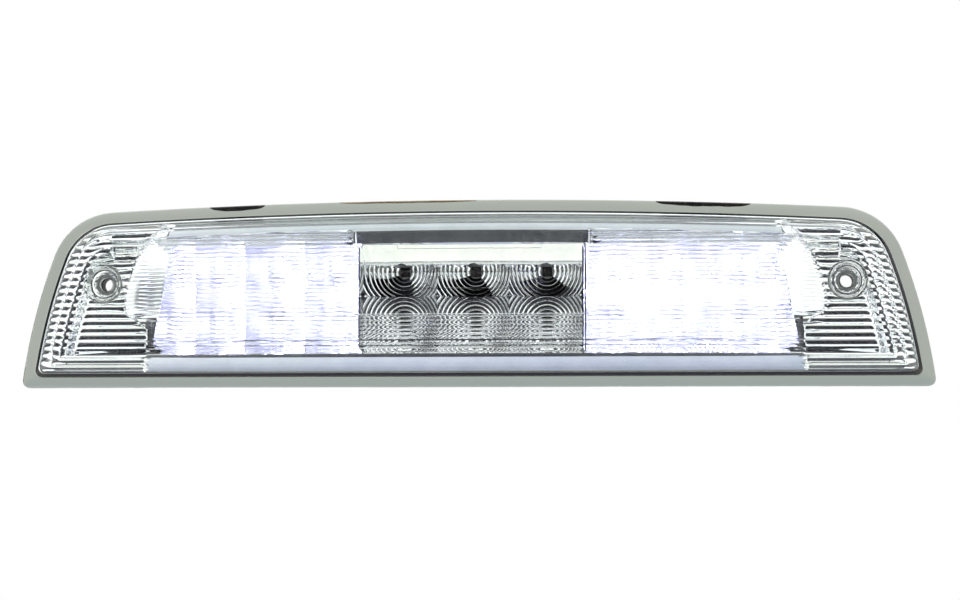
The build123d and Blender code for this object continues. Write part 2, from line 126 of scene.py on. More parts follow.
# ---- Reflectors ----
brake_low, brake_high = node_box("brake_reflector")
ROWS = (6.5, -18.5)
MIDDLE_Z, ROW_HEIGHT = sum(ROWS) / 2, 25.0
FOCAL, BOWL_VERTEX, BOWL_HOLE, REFLECTOR_SKIN = 5.75, 12.2, 3.4, 1.3
ROOF_LOW, ROOF_HIGH, ROOF_FRONT, ROOF_FALL = 8.8, 19.0, -9.2, 0.6
REFLECTOR_FRONT = -7.4
RING_PITCH, BRAKE_RINGS, CARGO_RINGS, TRAY_STEPS = 1.85, 0.15, 0.06, 28
PARTITION_FRONT, PARTITION_TOP, PARTITION_WALL = brake_low.y, 16.7, 0.7

# ---- Lamps ----
LAMP_BASE, BASE_BEVEL = 1.0, 0.25
DIE_HALF, DIE_HEIGHT, DIE_BEVEL = 0.75, 0.2, 0.06
DOME_SHARE, DOME_GAP, DOME_END, DOME_STEP = 0.97, 0.06, 1.48, 0.12
# The rim round a dome's foot: steps out from the dome's radius and in from the base's front.
LAMP_RIM = ((0.12, 0.1), (0.12, -0.25), (-0.05, -0.35), (-0.2, -0.05))

# ---- Sealant beads ----
SEAL_SIDES, SEAL_STATION = 8, 1.5
SEAL_INSET, SEAL_OFF, SEAL_HALF_DEPTH = 0.35, 0.36, 0.34
# Waves in a bead's height: share of it, radians per millimetre, and phase.
SEAL_WAVES = ((0.06, 0.31, 0.0), (0.04, 0.83, 1.0))
# Name, start and end in x, height and material of each bead.
SEAL_BEADS = (
    ("seal_bead_left", -128.0, -101.0, 2.0, "sealant"),
    ("seal_bead_middle", -65.0, 2.0, 0.7, "amber_sealant"),
    ("seal_bead_right", 88.0, 133.0, 1.8, "sealant"),
)

# ---- Light and camera ----
CARGO_LIGHT, CARGO_STRENGTH = (0.66, 0.66, 1.0), 1050.0
# The light tent's colours, from straight behind the lamp (0) to straight in front (1).
TENT = (
    (0.0, (0.78, 0.82, 0.77)),
    (0.22, (0.78, 0.82, 0.77)),
    (0.32, (0.16, 0.17, 0.17)),
    (0.44, (0.20, 0.21, 0.22)),
    (0.52, (1.6, 1.6, 1.6)),
    (0.60, (2.2, 2.2, 2.2)),
    (0.86, (2.2, 2.2, 2.2)),
    (0.92, (0.16, 0.16, 0.18)),
    (0.95, (0.09, 0.09, 0.10)),
    (1.0, (0.03, 0.03, 0.035)),
)
# Its shades by height, from straight below (0) to straight above (1).
TENT_HEIGHTS = (
    (0.0, (0.33, 0.35, 0.45)),
    (0.06, (0.72, 0.72, 0.67)),
    (0.38, (1.0, 1.0, 1.0)),
    (0.50, (0.60, 0.60, 0.58)),
    (0.58, (0.5, 0.52, 0.54)),
    (0.72, (0.9, 0.9, 0.92)),
    (0.94, (0.8, 0.82, 0.85)),
    (1.0, (0.50, 0.53, 0.56)),
)
FLOOR_HALF, FLOOR_LEVEL = 5000.0, -550.0
SENSOR_WIDTH, CAMERA_LENS, CAMERA_METRES = 36.0, 94.22, 1.2
CAMERA_AZIMUTH, CAMERA_ELEVATION, CAMERA_ROLL = 4.75, -3.0, -0.05
CAMERA_TARGET = Vector((4.1, -15.0, -8.5))


# ---- Meshes ----
def add_piece(name, points, faces, material, sharp=35.0):
    """Makes an object from points in millimetres, smooth-shaded except at sharp edges."""
    mesh = bpy.data.meshes.new(name)
    mesh.from_pydata([Vector(p) * MM for p in points], [], faces)
    mesh.validate()
    solid = bmesh.new()
    solid.from_mesh(mesh)
    bmesh.ops.delete(solid, geom=[v for v in solid.verts if not v.link_faces], context="VERTS")
    bmesh.ops.recalc_face_normals(solid, faces=solid.faces)
    solid.to_mesh(mesh)
    solid.free()
    mesh.materials.append(material)
    mesh.shade_smooth()
    mesh.set_sharp_from_angle(angle=math.radians(sharp))
    piece = bpy.data.objects.new(name, mesh)
    bpy.context.collection.objects.link(piece)
    return piece


def bridge(first, second):
    """Quads between two closed loops of as many point numbers."""
    count = len(first)
    return [(first[i], first[(i + 1) % count], second[(i + 1) % count], second[i]) for i in range(count)]


def arc(centre, radius, start, end, steps):
    """Points along an arc, without its last."""
    turns = [start + (end - start) * i / steps for i in range(steps)]
    return [centre + radius * Vector((math.cos(a), math.sin(a))) for a in turns]


def clamp(share):
    """A share held between 0 and 1."""
    return max(0, min(1, share))


def angle_of(vector):
    """The angle of a flat vector from the X axis."""
    return math.atan2(vector.y, vector.x)


def side_centre():
    """The centre of the arc of the right-hand side."""
    foot = Vector((HALF_LENGTH, BOTTOM))
    half = (foot - SHOULDER) / 2
    reach = math.sqrt(SIDE_RADIUS**2 - half.length_squared)
    return (foot + SHOULDER) / 2 + Vector((half.y, -half.x)) / half.length * reach


SIDE_CENTRE = side_centre()
TOP_CENTRE = Vector((0, TOP - TOP_RADIUS))


def corner_centre(side, top, radius):
    """The centre of a round corner that touches the inset side and top arcs."""
    a, b = TOP_RADIUS - top - radius, SIDE_RADIUS - side - radius
    apart = SIDE_CENTRE - TOP_CENTRE
    along = (a**2 - b**2 + apart.length_squared) / (2 * apart.length)
    across = math.sqrt(a**2 - along**2)
    way = apart.normalized()
    return TOP_CENTRE + way * along + Vector((way.y, -way.x)) * across


def outline(side, top=None, bottom=None, steps=(44, 5, 24, 16, 44)):
    """The lamp's outline moved in by side, top and bottom: one closed loop of (x, z) points."""
    top = side if top is None else top
    bottom = side if bottom is None else bottom
    radius = max(CORNER_RADIUS - side, LEAST_CORNER)
    foot_radius = max(FOOT_RADIUS - side, LEAST_CORNER)
    corner = corner_centre(side, top, radius)
    foot_z = BOTTOM + bottom + foot_radius
    reach = SIDE_RADIUS - side - foot_radius
    foot = Vector((SIDE_CENTRE.x + math.sqrt(reach**2 - (foot_z - SIDE_CENTRE.y) ** 2), foot_z))
    low, high = angle_of(foot - SIDE_CENTRE), angle_of(corner - SIDE_CENTRE)
    crown = angle_of(corner - TOP_CENTRE)
    right = [Vector((foot.x * i / steps[0], BOTTOM + bottom)) for i in range(steps[0])]
    right += arc(foot, foot_radius, -math.pi / 2, low, steps[1])
    right += arc(SIDE_CENTRE, SIDE_RADIUS - side, low, high, steps[2])
    right += arc(corner, radius, high, crown, steps[3])
    right += arc(TOP_CENTRE, TOP_RADIUS - top, crown, math.pi / 2, steps[4])
    left = [Vector((-p.x, p.y)) for p in reversed(right[1:])]
    return right + [Vector((0, TOP - top))] + left


def insets_of(x, z):
    """How far a place lies inside the outline's side, top and bottom, with its round upper corner."""
    place = Vector((abs(x), z))
    side = SIDE_RADIUS - (place - SIDE_CENTRE).length
    top = TOP_RADIUS - (place - TOP_CENTRE).length
    corner = corner_centre(0, 0, CORNER_RADIUS)
    off = place - corner
    if angle_of(corner - SIDE_CENTRE) <= angle_of(off) <= angle_of(corner - TOP_CENTRE):
        inside = CORNER_RADIUS - off.length
        side, top = min(side, inside), min(top, inside)
    return side, top, z - BOTTOM


class Region:
    """The flat region inside a closed loop of (x, z) points."""

    def __init__(self, loop):
        self.loop = loop
        self.low = Vector((min(p.x for p in loop), min(p.y for p in loop)))
        self.high = Vector((max(p.x for p in loop), max(p.y for p in loop)))

    def holds(self, point):
        """Is a point inside the loop?"""
        if not (self.low.x < point.x < self.high.x and self.low.y < point.y < self.high.y):
            return False
        inside = False
        for a, b in zip(self.loop, self.loop[1:] + self.loop[:1]):
            if (a.y > point.y) != (b.y > point.y):
                if point.x < a.x + (point.y - a.y) / (b.y - a.y) * (b.x - a.x):
                    inside = not inside
        return inside


def on_sheet(place, border, holes):
    """Is a place inside a border and outside its holes?"""
    return border.holds(place) and not any(hole.holds(place) for hole in holes)


def clear_places(places, loops, clear):
    """The places inside the first loop, outside the others, and at least clear away from them all."""
    border, *holes = (Region(loop) for loop in loops)
    edge = [p for loop in loops for p in loop]
    inside = [place for place in places if on_sheet(place, border, holes)]
    return [place for place in inside if all((place - p).length > clear for p in edge)]


class Sheet:
    """Points and faces of one mesh, gathered loop by loop."""

    def __init__(self):
        self.points, self.faces = [], []

    def loop(self, points):
        """Adds points and returns their numbers."""
        start = len(self.points)
        self.points += [Vector(p) for p in points]
        return list(range(start, len(self.points)))

    def flat(self, loop):
        """The (x, z) points of a numbered loop."""
        return [Vector((self.points[n].x, self.points[n].z)) for n in loop]

    def rings(self, loops, flip=False):
        """Joins a chain of numbered loops with quads."""
        for first, second in zip(loops, loops[1:]):
            quads = bridge(first, second)
            self.faces += [q[::-1] for q in quads] if flip else quads

    def fill(self, border, holes, places, lines, depth, flip=False):
        """Fills a numbered border, around numbered holes, through loose (x, z) places and open lines."""
        numbers = [n for loop in (border, *holes) for n in loop]
        flat = self.flat(numbers)
        edges, start = [], 0
        for loop in (border, *holes):
            edges += [(start + i, start + (i + 1) % len(loop)) for i in range(len(loop))]
            start += len(loop)
        flat += places
        for line in lines:
            edges += [(len(flat) + i, len(flat) + i + 1) for i in range(len(line) - 1)]
            flat += line
        gaps = [Region(self.flat(loop)) for loop in holes]
        made, _, triangles, sources, _, _ = delaunay_2d_cdt(flat, edges, [], 1, 1e-4)
        final = []
        for point, source in zip(made, sources):
            known = [s for s in source if s < len(numbers)]
            if known:
                final.append(numbers[known[0]])
            else:
                final.append(len(self.points))
                self.points.append(Vector((point.x, depth(point.x, point.y), point.y)))
        for a, b, c in triangles:
            middle = (made[a] + made[b] + made[c]) / 3
            if any(hole.holds(middle) for hole in gaps):
                continue
            face = (final[a], final[b], final[c])
            self.faces.append(face[::-1] if flip else face)


def spread(low, high, step):
    """Evenly spaced values from low to high, no further apart than step."""
    count = max(1, math.ceil((high - low) / step))
    return [low + (high - low) * i / count for i in range(count + 1)]


# ---- Lens ----
def face_y(x):
    """The lens's crowned front face."""
    return CROWN + x**2 / (2 * CROWN_RADIUS)


def wall_rings(gap, depth, round_edge, steps):
    """Rings of points up the leaning wall, gap inside it, and round the edge onto the face at depth."""
    foot = outline(LIP_WIDTH + gap)
    end = outline(*(LIP_WIDTH + gap + run for run in WALL_RUNS))
    rings = [[] for _ in range(steps + 3)]
    for a, b in zip(foot, end):
        a3, b3 = Vector((a.x, LIP_FRONT, a.y)), Vector((b.x, WALL_END, b.y))
        share = (LIP_FRONT - face_y(b.x) - depth) / (LIP_FRONT - WALL_END)
        crest = a3.lerp(b3, share)
        inward = Vector((b.x - a.x, 0, b.y - a.y)).normalized()
        below = crest + (a3 - b3).normalized() * round_edge
        beyond = crest + inward * round_edge
        beyond.y = face_y(beyond.x) + depth
        rings[0].append(a3)
        rings[1].append(a3.lerp(below, 0.5))
        for i in range(steps + 1):
            t = i / steps
            rings[2 + i].append(below * (1 - t) ** 2 + crest * 2 * t * (1 - t) + beyond * t**2)
    return rings


def ring_at(loop, y):
    """A flat loop at one depth."""
    return [Vector((p.x, y, p.y)) for p in loop]


def on_face(loop, below):
    """A flat loop laid below the lens's crowned front face."""
    return [Vector((p.x, face_y(p.x) + below, p.y)) for p in loop]


def circle(x, radius, steps=56):
    """A flat circle about a screw's axis."""
    return arc(Vector((x, 0)), radius, 0, math.tau, steps)


def recess_rings(x):
    """Rings from the lens's face down a screw recess, through its hole and back up the tube's outside."""
    level = (
        (RECESS_FLOOR + 0.2, RECESS_FLOOR_Y - 0.6),
        (RECESS_FLOOR - 0.3, RECESS_FLOOR_Y),
        (SCREW_HOLE + 0.3, RECESS_FLOOR_Y),
        (SCREW_HOLE, RECESS_FLOOR_Y + 0.3),
        (SCREW_HOLE, TUBE_END - 0.2),
        (SCREW_HOLE + 0.2, TUBE_END),
        (RECESS_FLOOR + TUBE_WALL - 0.3, TUBE_END),
        (RECESS_FLOOR + TUBE_WALL, TUBE_END - 0.3),
    )
    rings = [on_face(circle(x, RECESS_MOUTH + out), down) for out, down in MOUTH_ROUND]
    rings += [ring_at(circle(x, radius), y) for radius, y in level]
    rings += [on_face(circle(x, TUBE_MOUTH + out), LENS_THICKNESS + down) for out, down in ROOT_ROUND]
    return rings


def pad_edge(z):
    """The half width of the optic pad at a height."""
    if z < PAD_HEEL:
        return PAD_BAND_HALF
    reach = PAD_ARC_CENTRE.x + math.sqrt(PAD_ARC_RADIUS**2 - (z - PAD_ARC_CENTRE.y) ** 2)
    drop = PAD_HEEL + PAD_CORNER - z
    if drop > 0:
        reach -= PAD_CORNER - math.sqrt(max(PAD_CORNER**2 - drop**2, 0))
    return reach


def pad_share(x, z):
    """From 0 off the optic pad to 1 where it has its full depth."""
    x = abs(x)
    off_window = max(x - WINDOW_HALF, BAND_TOP - z)
    below_top = TOP_RADIUS - PAD_TOP_INSET - (Vector((x, z)) - TOP_CENTRE).length
    nearest = min(below_top, z - PAD_BOTTOM, off_window)
    return clamp(min((pad_edge(z) - x) / PAD_CHAMFER, nearest / PAD_STEP))


def flute(z):
    """How far the flutes and the rib stand proud of the pad at a height."""
    if abs(z - RIB_Z) < RIB_HALF:
        return RIB_HEIGHT * (1 - abs(z - RIB_Z) / RIB_HALF)
    off = (z - PAD_BOTTOM) % FLUTE_PITCH - FLUTE_PITCH / 2
    floor = math.sqrt(FLUTE_RADIUS**2 - (FLUTE_PITCH / 2) ** 2)
    return math.sqrt(FLUTE_RADIUS**2 - off**2) - floor


def plate_line(x, z):
    """1 on the thin raised rectangle in the middle of the lens, else 0."""
    off = Vector((abs(x - PLATE_CENTRE.x), abs(z - PLATE_CENTRE.y)))
    past = max(off.x - PLATE_HALF.x, off.y - PLATE_HALF.y)
    return 1 if abs(past) < PLATE_LINE / 4 else 0


def inner_y(x, z):
    """The inside of the lens's face, with its pad and flutes."""
    share = pad_share(x, z)
    proud = share * (PAD_DEPTH + flute(z)) + PLATE_HEIGHT * plate_line(x, z)
    return face_y(x) + LENS_THICKNESS + proud


def pad_top(x, inset=0.0):
    """The height of the pad's upper edge, or of a line a little inside it."""
    return TOP_CENTRE.y + math.sqrt((TOP_RADIUS - PAD_TOP_INSET - inset) ** 2 - x**2)


def pad_reach(z):
    """The half width of a row of the pad: out to its slanted edge or its upper edge."""
    reach = (TOP_RADIUS - PAD_TOP_INSET) ** 2 - (z - TOP_CENTRE.y) ** 2
    return min(pad_edge(z), math.sqrt(max(0, reach)))


def pad_rows():
    """The heights of the pad's rows of points: along its flutes, its rib and its two steps."""
    step = FLUTE_PITCH / FLUTE_STEPS
    count = int((pad_top(WINDOW_HALF) - PAD_BOTTOM) / step) + 1
    rows = [PAD_BOTTOM + step * i for i in range(count)]
    rows = [z for z in rows if abs(z - RIB_Z) > RIB_HALF + ROW_GAP]
    rows += [RIB_Z + RIB_HALF * k for k in (-1, -0.5, 0, 0.5, 1)]
    rows += [PAD_BOTTOM + PAD_STEP, BAND_TOP - PAD_STEP]
    return sorted(rows)


def row_lines(z):
    """One line across the pad's lower band, or a line on each side of the window over the brake lamp."""
    reach = pad_reach(z)
    if reach < WINDOW_HALF + 3 * PAD_STEP:
        return []
    end = max(WINDOW_HALF + 2 * PAD_STEP, reach - PAD_CHAMFER)
    across = [WINDOW_HALF] + spread(WINDOW_HALF + PAD_STEP, end, PAD_COLUMN) + [reach]
    right = [Vector((x, z)) for x in across]
    left = [Vector((-x, z)) for x in reversed(across)]
    if z < BAND_TOP + PAD_STEP:
        middle = [Vector((x, z)) for x in spread(-WINDOW_HALF, WINDOW_HALF, PAD_COLUMN)[1:-1]]
        return [left + middle + right]
    return [left, right]


def plate_lines():
    """The closed lines that carry the thin raised rectangle."""
    lines = []
    for grow in (-PLATE_LINE / 2, -PLATE_LINE / 5, PLATE_LINE / 5, PLATE_LINE / 2):
        half = PLATE_HALF + Vector((grow, grow))
        ring = [PLATE_CENTRE + Vector((i * half.x, j * half.y)) for i, j in SQUARE]
        lines.append(ring + ring[:1])
    return lines


def pad_lines():
    """The lines that carry the pad, its flutes and the raised rectangle."""
    rows = pad_rows()
    lines = [line for z in rows for line in row_lines(z)]
    for inset in (0.0, PAD_STEP):
        across = spread(WINDOW_HALF, PAD_BAND_HALF, PAD_TOP_COLUMN)
        across = [x for x in across if x < pad_edge(pad_top(x, inset))]
        lines += [[Vector((way * x, pad_top(x, inset))) for x in across] for way in (-1, 1)]
    tall = [z for z in rows if PAD_HEEL + ROW_GAP < z < pad_top(pad_edge(z))]
    short = [z for z in rows if z < PAD_HEEL - ROW_GAP]
    for way in (-1, 1):
        for part in (tall, short):
            for inward in (0, PAD_CHAMFER):
                lines.append([Vector((way * (pad_edge(z) - inward), z)) for z in part])
    return lines + plate_lines()


def lip_rings():
    """Rings round the flat lip, from inside the side wall's foot round the edge to its outside."""
    profile = (
        (LIP_WIDTH + LENS_WALL, LIP_BACK),
        (LIP_ROUND, LIP_BACK),
        (LIP_EASE, LIP_BACK - LIP_EASE),
        (0.0, LIP_BACK - LIP_ROUND),
        (0.0, LIP_FRONT + LIP_ROUND),
        (LIP_EASE, LIP_FRONT + LIP_EASE),
        (LIP_ROUND, LIP_FRONT),
        (LIP_WIDTH - 0.7, LIP_FRONT),
        (LIP_WIDTH - 0.2, LIP_FRONT - 0.1),
    )
    return [ring_at(outline(inset), y) for inset, y in profile]


def lens(material):
    """The clear lens as one closed shell."""
    sheet = Sheet()
    foot, *wall = wall_rings(0, 0, EDGE_ROUND, 7)
    lifted = [p + (q - p).normalized() * LIP_FILLET for p, q in zip(foot, wall[0])]
    outer = [sheet.loop(ring) for ring in (*lip_rings(), lifted, *wall)]
    sheet.rings(outer)
    inner = [outer[0]] + [sheet.loop(ring) for ring in wall_rings(LENS_WALL, LENS_THICKNESS, INNER_ROUND, 4)]
    sheet.rings(inner, flip=True)
    mouths, throats = [], []
    for x in (-SCREW_X, SCREW_X):
        loops = [sheet.loop(ring) for ring in recess_rings(x)]
        sheet.rings(loops)
        mouths.append(loops[0])
        throats.append(loops[-1])
    loops = [sheet.flat(loop) for loop in (outer[-1], *mouths)]
    places = [Vector((x, z)) for x in spread(*FACE_X) for z in spread(*FACE_Z)]
    places = clear_places(places, loops, FACE_GAP)
    sheet.fill(outer[-1], mouths, places, [], lambda x, z: face_y(x), flip=True)
    loops = [sheet.flat(loop) for loop in (inner[-1], *throats)]
    places = [Vector((way * x, z)) for x in spread(*END_X) for z in spread(*END_Z) for way in (-1, 1)]
    places += [Vector((x, z)) for x in spread(*MIDDLE_X) for z in MIDDLE_ROWS]
    sheet.fill(inner[-1], throats, clear_places(places, loops, INSIDE_GAP), pad_lines(), inner_y)
    return add_piece("clear_lens", sheet.points, sheet.faces, material, sharp=28)


# ---- Bezel ----
def window_half(z):
    """The half width of the bezel's window at a height."""
    share = (WINDOW_TOP - z) / (WINDOW_TOP - WINDOW_BOTTOM)
    return WINDOW_HALVES[0] + (WINDOW_HALVES[1] - WINDOW_HALVES[0]) * share


def end_edge(z):
    """Where the bezel's scalloped end starts at a height: under the edge of the lens's pad."""
    return max(window_half(z) + SCALLOP_START, pad_edge(z) - 1)


def end_share(x, z):
    """From 0 beside the bezel's window to 1 on its two scalloped ends."""
    return clamp((abs(x) - end_edge(z)) / SCALLOP_FADE)


def wing_y(x, z):
    """The plain wing that rises from the window's side to the edge of the scalloped end."""
    side = window_half(z)
    out = clamp((abs(x) - side) / (end_edge(z) - side))
    up = clamp((z - PAD_HEEL) / SCALLOP_FADE)
    return BEZEL_FLOOR + (WING_RIDGE - BEZEL_FLOOR) * out * up * (1 - end_share(x, z))


def brow_y(x, inset):
    """The bezel below its upper ridge: a nearly flat brow over the middle lamp, else a plain slant."""
    across = clamp((inset - BROW_START) / (BROW_END - BROW_START))
    under = clamp((inset - BROW_END) / (BROW_FLOOR - BROW_END))
    brow = RIDGE + BROW_DROP * across + (BEZEL_FLOOR - RIDGE - BROW_DROP) * under
    slant = RIDGE + (BEZEL_FLOOR - RIDGE) * clamp((inset - BROW_START) / (BROW_FLOOR - BROW_START))
    return slant + (brow - slant) * clamp(BROW_HALF - abs(x))


def scallop(x, z):
    """The depth of the horizontal grooves in the bezel's two ends."""
    share = min(end_share(x, z), (z - SCALLOP_LOW) / SCALLOP_FADE, (SCALLOP_HIGH - z) / SCALLOP_FADE)
    if share <= 0:
        return 0
    off = (z - SCALLOP_LOW) % SCALLOP_PITCH - SCALLOP_PITCH / 2
    crest = math.sqrt(SCALLOP_RADIUS**2 - (SCALLOP_PITCH / 2) ** 2)
    return math.sqrt(share) * (math.sqrt(SCALLOP_RADIUS**2 - off**2) - crest)


def dimple(run):
    """The share of a groove's depth by how far in from the edge it is: one dimple for each terrace."""
    start = 0
    for end, _ in TERRACES:
        if run < end:
            across = 2 * (run - start) / (end - start) - 1
            return math.sqrt(max(0, 1 - across**2))
        start = end + RISER
        if run < start:
            return 0
    return min(1, math.sqrt((run - start) / RIDGE_WIDTH))


def bezel_y(x, z):
    """The front of the bezel: terraced, grooved ends or a plain slope up to a ridge, then coves down."""
    insets = insets_of(x, z)
    run = min((inset - BEZEL_SKIRT) / share for inset, share in zip(insets, SKIRT_SHARES))
    slope = BEZEL_RIM + (RIDGE - BEZEL_RIM) * clamp(run / RIDGE_START)
    stepped, level = BEZEL_RIM, BEZEL_RIM
    for start, height in TERRACES:
        part = clamp((run - start) / RISER)
        stepped += (height - level) * part**2 * (3 - 2 * part)
        level = height
    end = end_share(x, z)
    front = slope + (stepped - slope) * end
    side, top, bottom = insets
    fall = 1
    for inset, (start, floor) in ((side, SIDE_COVE), (bottom, BOTTOM_COVE)):
        fall = min(fall, max(0, (inset - start) / (floor - start)))
    cove = BEZEL_FLOOR + (RIDGE - BEZEL_FLOOR) * (1 - fall) ** COVE_POWER
    base = max(front, min(cove, brow_y(x, top))) + scallop(x, z) * dimple(run)
    return min(base, wing_y(x, z)) if end < 1 else base


def window_loop(radius, steps):
    """The bezel's window, a trapezoid with round corners."""
    loop = []
    for way_x, way_z, start in ((1, -1, -math.pi / 2), (1, 1, 0), (-1, 1, math.pi / 2), (-1, -1, math.pi)):
        z = WINDOW_TOP - radius if way_z > 0 else WINDOW_BOTTOM + radius
        centre = Vector((way_x * (window_half(z) - radius), z))
        loop += arc(centre, radius, start, start + math.pi / 2, steps)
    return loop


def on_bezel(loop):
    """A flat loop laid on the bezel's front."""
    return [Vector((p.x, bezel_y(p.x, p.y), p.y)) for p in loop]


def groove_lines(rows, border, holes):
    """Lines along the two grooved ends, each cut where it leaves the bezel."""
    lines = []
    for z in rows:
        for way in (-1, 1):
            row = [Vector((way * x, z)) for x in spread(*SCALLOP_REACH, SCALLOP_COLUMN)]
            row = [p for p in row if on_sheet(p, border, holes)]
            cuts = [i for i in range(1, len(row)) if abs(row[i].x - row[i - 1].x) > 1.5 * SCALLOP_COLUMN]
            lines += [row[i:j] for i, j in zip([0] + cuts, cuts + [len(row)])]
    return lines


def crease_lines(rows):
    """Lines along the terraces, the coves, the inner edges of the two ends and the ends of the brow."""
    rises = [rise for start, _ in TERRACES for rise in (start, start + RISER / 2, start + RISER)]
    coves = list(zip(SIDE_COVE, (BROW_END, BROW_FLOOR), BOTTOM_COVE))
    terraces = [[BEZEL_SKIRT + rise * share for share in SKIRT_SHARES] for rise in rises]
    lines = []
    for insets in terraces + coves:
        loop = outline(*insets, steps=CREASE_STEPS)
        lines.append(loop + loop[:1])
    tall = [z for z in rows if PAD_HEEL < z < WINDOW_TOP + SCALLOP_PITCH]
    for out in (0, SCALLOP_FADE):
        lines += [[Vector((way * (end_edge(z) + out), z)) for z in tall] for way in (-1, 1)]
    brow = spread(WINDOW_TOP + 0.1, TOP - BROW_START, 0.5)
    for x in (BROW_HALF - 1, BROW_HALF):
        lines += [[Vector((way * x, z)) for z in brow] for way in (-1, 1)]
    return lines


def bezel(material):
    """The chrome frame between the lens and the reflectors."""
    sheet = Sheet()
    border = sheet.loop(on_bezel(outline(BEZEL_SKIRT + BORDER_GAP, steps=BORDER_STEPS)))
    openings = [window_loop(WINDOW_CORNER, 12)]
    openings += [circle(x, SCREW_CLEARANCE, 90) for x in (-SCREW_X, SCREW_X)]
    holes = [sheet.loop(on_bezel(loop)) for loop in openings]
    edge, *gaps = [Region(sheet.flat(loop)) for loop in (border, *holes)]
    step = SCALLOP_PITCH / SCALLOP_STEPS
    rows = [SCALLOP_LOW + step * i for i in range(math.ceil((TOP - SCALLOP_LOW) / step))]
    places = [Vector((x, z)) for z in spread(BOTTOM, TOP, BEZEL_ROW) for x in spread(*BEZEL_COLUMNS)]
    places = [p for p in places if on_sheet(p, edge, gaps)]
    lines = groove_lines(rows, edge, gaps) + crease_lines(rows)
    sheet.fill(border, holes, places, lines, bezel_y)
    points, faces = thicken(sheet.points, sheet.faces, Vector((0, BEZEL_SKIN, 0)))
    return add_piece("scalloped_bezel", points, faces, material, sharp=24)


def thicken(points, faces, shift):
    """Closes a sheet with a moved copy of itself and a wall along every open edge."""
    count = len(points)
    open_edges = {}
    for face in faces:
        for a, b in zip(face, face[1:] + face[:1]):
            if open_edges.pop((b, a), None) is None:
                open_edges[(a, b)] = True
    back = [tuple(n + count for n in reversed(face)) for face in faces]
    walls = [(b, a, a + count, b + count) for a, b in open_edges]
    return points + [p + shift for p in points], faces + back + walls


# ---- Reflectors ----
def bowl_y(radius, ripple):
    """A parabolic bowl with fine ring steps, taller where it is steep, cut off level at the front."""
    deep = BOWL_VERTEX - radius**2 / (4 * FOCAL)
    slope = radius / (2 * FOCAL)
    rings = ripple * (1 + slope**2) * abs(math.sin(math.pi * (radius - BOWL_HOLE) / RING_PITCH))
    return max(REFLECTOR_FRONT, deep - rings)


def roof_y(z):
    """The slanting roof over the upper brake bowls."""
    return ROOF_FRONT + (ROOF_HIGH - z) * ROOF_FALL


class Tray:
    """A tray of bowls whose neighbours share their edge points."""

    def __init__(self, ripple, roofed):
        self.points, self.faces, self.numbers = [], [], {}
        self.ripple, self.roofed = ripple, roofed

    def number(self, centre, x, z):
        """The number of the point at a place, made if it isn't there yet."""
        key = (round(x, 3), round(z, 3))
        if key not in self.numbers:
            radius = math.hypot(x - centre.x, z - centre.y)
            self.numbers[key] = len(self.points)
            y = bowl_y(radius, self.ripple)
            if self.roofed and z > ROOF_LOW:
                y = min(y, roof_y(z))
            self.points.append(Vector((x, y, z)))
        return self.numbers[key]

    def cell(self, centre, low, high, steps):
        """One bowl, filled from its lamp hole out to its four straight edges."""
        corners = [low, Vector((high.x, low.y)), high, Vector((low.x, high.y))]
        edge = []
        for a, b in zip(corners, corners[1:] + corners[:1]):
            edge += [a.lerp(b, i / steps) for i in range(steps)]
        reach = max((p - centre).length for p in edge)
        radii = [BOWL_HOLE + RING_PITCH / 4 * i for i in range(int((reach - BOWL_HOLE) / RING_PITCH * 4) + 2)]
        rays = []
        for p in edge:
            off = p - centre
            near = [r for r in radii if r < off.length - RING_PITCH / 10]
            ray = [self.number(centre, *(centre + off * (r / off.length))) for r in near]
            last = self.number(centre, *p)
            rays.append(ray + [last] * (len(radii) - len(ray)))
        for first, second in zip(rays, rays[1:] + rays[:1]):
            for i in range(len(radii) - 1):
                face = list(dict.fromkeys((first[i], second[i], second[i + 1], first[i + 1])))
                if len(face) > 2:
                    self.faces.append(tuple(face))


def partition(x, start):
    """A wall from x towards the middle, between the brake and cargo lamps, numbered from start."""
    foot, back = MIDDLE_Z - ROW_HEIGHT, REFLECTOR_FRONT + REFLECTOR_SKIN
    corners = ((PARTITION_FRONT, foot), (PARTITION_FRONT, PARTITION_TOP), (back, PARTITION_TOP), (back, foot))
    sides = (x, x - math.copysign(PARTITION_WALL, x))
    points = [Vector((side, y, z)) for side in sides for y, z in corners]
    near, far = (tuple(start + k for k in ks) for ks in ((0, 1, 2, 3), (7, 6, 5, 4)))
    faces = [near, far]
    faces += [(near[i], start + 4 + i, start + 4 + (i + 1) % 4, near[(i + 1) % 4]) for i in range(4)]
    return points, faces


def reflector(name, low, high, columns, ripple, material, middle=False):
    """A chromed tray from low to high in x; the middle one also has a roof and a partition at each end."""
    tray = Tray(ripple, roofed=middle)
    edges = [low] + [(a + b) / 2 for a, b in zip(columns, columns[1:])] + [high]
    for x, start, end in zip(columns, edges, edges[1:]):
        for z in ROWS:
            foot = MIDDLE_Z if z > MIDDLE_Z else MIDDLE_Z - ROW_HEIGHT
            corners = Vector((start, foot)), Vector((end, foot + ROW_HEIGHT))
            tray.cell(Vector((x, z)), *corners, TRAY_STEPS)
    points, faces = thicken(tray.points, tray.faces, Vector((0, REFLECTOR_SKIN, 0)))
    for x in (low, high) if middle else ():
        wall_points, wall_faces = partition(x, len(points))
        points += wall_points
        faces += wall_faces
    return add_piece(name, points, faces, material, sharp=24)


